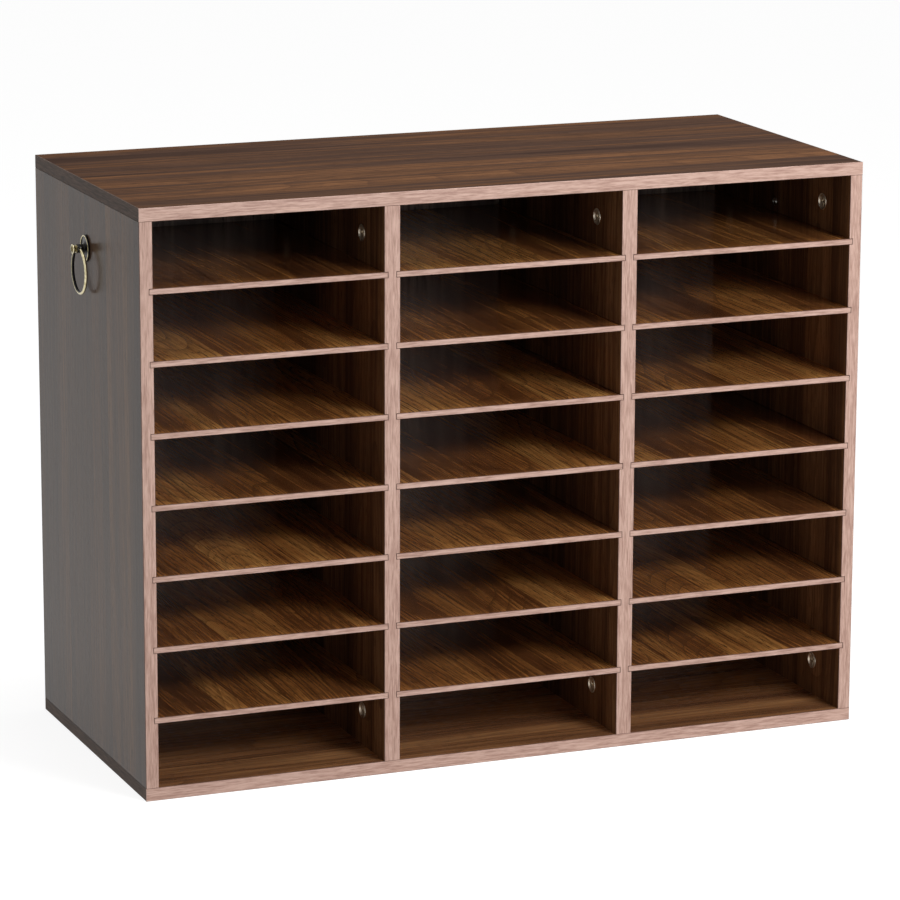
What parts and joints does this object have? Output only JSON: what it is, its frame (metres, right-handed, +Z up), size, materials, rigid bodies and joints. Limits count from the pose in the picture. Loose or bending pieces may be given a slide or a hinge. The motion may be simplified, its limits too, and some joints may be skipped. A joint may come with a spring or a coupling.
{
  "type": "pigeonhole mail sorter",
  "caption": "Wooden desktop mail sorter: a grooved case with upright dividers, thin shelves that slide out and wide letter slots, with a hinged ring pull on each side.",
  "frame": {"origin": "centre of the footprint, on the surface that the sorter stands on", "axes": "+X to the right as seen from the open front, +Y to the back, +Z up; the slots open towards -Y"},
  "size_m": [0.7752, 0.33, 0.569],
  "materials": {
    "walnut_top": "satin walnut grain, left to right",
    "walnut_flat": "satin walnut grain, left to right",
    "walnut_upright": "satin walnut grain, upright",
    "walnut_shelf": "satin walnut grain, front to back",
    "walnut_back": "satin walnut grain, upright, thin board",
    "edge_band": "pale pinkish-brown band, fine grain along its length",
    "shelf_band": "pale pinkish-brown band, fine grain along its length",
    "end_band": "grey-brown band, fine grain along its length",
    "cam_zinc": "die-cast zinc, dull",
    "bolt_steel": "zinc-plated steel",
    "beech": "plain beech",
    "antique_brass": "antique brass, darkened in the hollows and rubbed bright on the rims"
  },
  "bodies": {
    "cabinet": {"top_panel": "walnut_top", "bottom_panel": "walnut_flat", "left_side_panel": "walnut_upright", "right_side_panel": "walnut_upright", "left_divider": "walnut_upright", "right_divider": "walnut_upright", "back_panel": "walnut_back", "long_edge_bands": "edge_band", "end_edge_bands": "end_band", "upright_edge_bands": "edge_band", "cam_discs": "cam_zinc", "cam_bolts": "bolt_steel", "wood_dowels": "beech", "pull_roses": "antique_brass", "pull_posts": "antique_brass", "pull_screws": "bolt_steel"},
    "left_shelf_1": {"left_shelf_1": "walnut_shelf", "left_shelf_1_band": "shelf_band"},
    "left_shelf_2": {"left_shelf_2": "walnut_shelf", "left_shelf_2_band": "shelf_band"},
    "left_shelf_3": {"left_shelf_3": "walnut_shelf", "left_shelf_3_band": "shelf_band"},
    "left_shelf_4": {"left_shelf_4": "walnut_shelf", "left_shelf_4_band": "shelf_band"},
    "left_shelf_5": {"left_shelf_5": "walnut_shelf", "left_shelf_5_band": "shelf_band"},
    "left_shelf_6": {"left_shelf_6": "walnut_shelf", "left_shelf_6_band": "shelf_band"},
    "left_shelf_7": {"left_shelf_7": "walnut_shelf", "left_shelf_7_band": "shelf_band"},
    "middle_shelf_1": {"middle_shelf_1": "walnut_shelf", "middle_shelf_1_band": "shelf_band"},
    "middle_shelf_2": {"middle_shelf_2": "walnut_shelf", "middle_shelf_2_band": "shelf_band"},
    "middle_shelf_3": {"middle_shelf_3": "walnut_shelf", "middle_shelf_3_band": "shelf_band"},
    "middle_shelf_4": {"middle_shelf_4": "walnut_shelf", "middle_shelf_4_band": "shelf_band"},
    "middle_shelf_5": {"middle_shelf_5": "walnut_shelf", "middle_shelf_5_band": "shelf_band"},
    "middle_shelf_6": {"middle_shelf_6": "walnut_shelf", "middle_shelf_6_band": "shelf_band"},
    "middle_shelf_7": {"middle_shelf_7": "walnut_shelf", "middle_shelf_7_band": "shelf_band"},
    "right_shelf_1": {"right_shelf_1": "walnut_shelf", "right_shelf_1_band": "shelf_band"},
    "right_shelf_2": {"right_shelf_2": "walnut_shelf", "right_shelf_2_band": "shelf_band"},
    "right_shelf_3": {"right_shelf_3": "walnut_shelf", "right_shelf_3_band": "shelf_band"},
    "right_shelf_4": {"right_shelf_4": "walnut_shelf", "right_shelf_4_band": "shelf_band"},
    "right_shelf_5": {"right_shelf_5": "walnut_shelf", "right_shelf_5_band": "shelf_band"},
    "right_shelf_6": {"right_shelf_6": "walnut_shelf", "right_shelf_6_band": "shelf_band"},
    "right_shelf_7": {"right_shelf_7": "walnut_shelf", "right_shelf_7_band": "shelf_band"},
    "left_ring": {"left_ring": "antique_brass"},
    "right_ring": {"right_ring": "antique_brass"}
  },
  "joints": [
    {"name": "left_shelf_1_slide", "type": "slide", "parent": "cabinet", "child": "left_shelf_1", "axis": [0, -1, 0], "range_m": [0, 0.315]},
    {"name": "left_shelf_2_slide", "type": "slide", "parent": "cabinet", "child": "left_shelf_2", "axis": [0, -1, 0], "range_m": [0, 0.315]},
    {"name": "left_shelf_3_slide", "type": "slide", "parent": "cabinet", "child": "left_shelf_3", "axis": [0, -1, 0], "range_m": [0, 0.315]},
    {"name": "left_shelf_4_slide", "type": "slide", "parent": "cabinet", "child": "left_shelf_4", "axis": [0, -1, 0], "range_m": [0, 0.315]},
    {"name": "left_shelf_5_slide", "type": "slide", "parent": "cabinet", "child": "left_shelf_5", "axis": [0, -1, 0], "range_m": [0, 0.315]},
    {"name": "left_shelf_6_slide", "type": "slide", "parent": "cabinet", "child": "left_shelf_6", "axis": [0, -1, 0], "range_m": [0, 0.315]},
    {"name": "left_shelf_7_slide", "type": "slide", "parent": "cabinet", "child": "left_shelf_7", "axis": [0, -1, 0], "range_m": [0, 0.315]},
    {"name": "middle_shelf_1_slide", "type": "slide", "parent": "cabinet", "child": "middle_shelf_1", "axis": [0, -1, 0], "range_m": [0, 0.315]},
    {"name": "middle_shelf_2_slide", "type": "slide", "parent": "cabinet", "child": "middle_shelf_2", "axis": [0, -1, 0], "range_m": [0, 0.315]},
    {"name": "middle_shelf_3_slide", "type": "slide", "parent": "cabinet", "child": "middle_shelf_3", "axis": [0, -1, 0], "range_m": [0, 0.315]},
    {"name": "middle_shelf_4_slide", "type": "slide", "parent": "cabinet", "child": "middle_shelf_4", "axis": [0, -1, 0], "range_m": [0, 0.315]},
    {"name": "middle_shelf_5_slide", "type": "slide", "parent": "cabinet", "child": "middle_shelf_5", "axis": [0, -1, 0], "range_m": [0, 0.315]},
    {"name": "middle_shelf_6_slide", "type": "slide", "parent": "cabinet", "child": "middle_shelf_6", "axis": [0, -1, 0], "range_m": [0, 0.315]},
    {"name": "middle_shelf_7_slide", "type": "slide", "parent": "cabinet", "child": "middle_shelf_7", "axis": [0, -1, 0], "range_m": [0, 0.315]},
    {"name": "right_shelf_1_slide", "type": "slide", "parent": "cabinet", "child": "right_shelf_1", "axis": [0, -1, 0], "range_m": [0, 0.315]},
    {"name": "right_shelf_2_slide", "type": "slide", "parent": "cabinet", "child": "right_shelf_2", "axis": [0, -1, 0], "range_m": [0, 0.315]},
    {"name": "right_shelf_3_slide", "type": "slide", "parent": "cabinet", "child": "right_shelf_3", "axis": [0, -1, 0], "range_m": [0, 0.315]},
    {"name": "right_shelf_4_slide", "type": "slide", "parent": "cabinet", "child": "right_shelf_4", "axis": [0, -1, 0], "range_m": [0, 0.315]},
    {"name": "right_shelf_5_slide", "type": "slide", "parent": "cabinet", "child": "right_shelf_5", "axis": [0, -1, 0], "range_m": [0, 0.315]},
    {"name": "right_shelf_6_slide", "type": "slide", "parent": "cabinet", "child": "right_shelf_6", "axis": [0, -1, 0], "range_m": [0, 0.315]},
    {"name": "right_shelf_7_slide", "type": "slide", "parent": "cabinet", "child": "right_shelf_7", "axis": [0, -1, 0], "range_m": [0, 0.315]},
    {"name": "left_ring_swing", "type": "hinge", "parent": "cabinet", "child": "left_ring", "pos_m": [-0.379, 0, 0.504], "axis": [0, 1, 0], "range_deg": [-7, 187]},
    {"name": "right_ring_swing", "type": "hinge", "parent": "cabinet", "child": "right_ring", "pos_m": [0.379, 0, 0.504], "axis": [0, -1, 0], "range_deg": [-7, 187]}
  ]
}
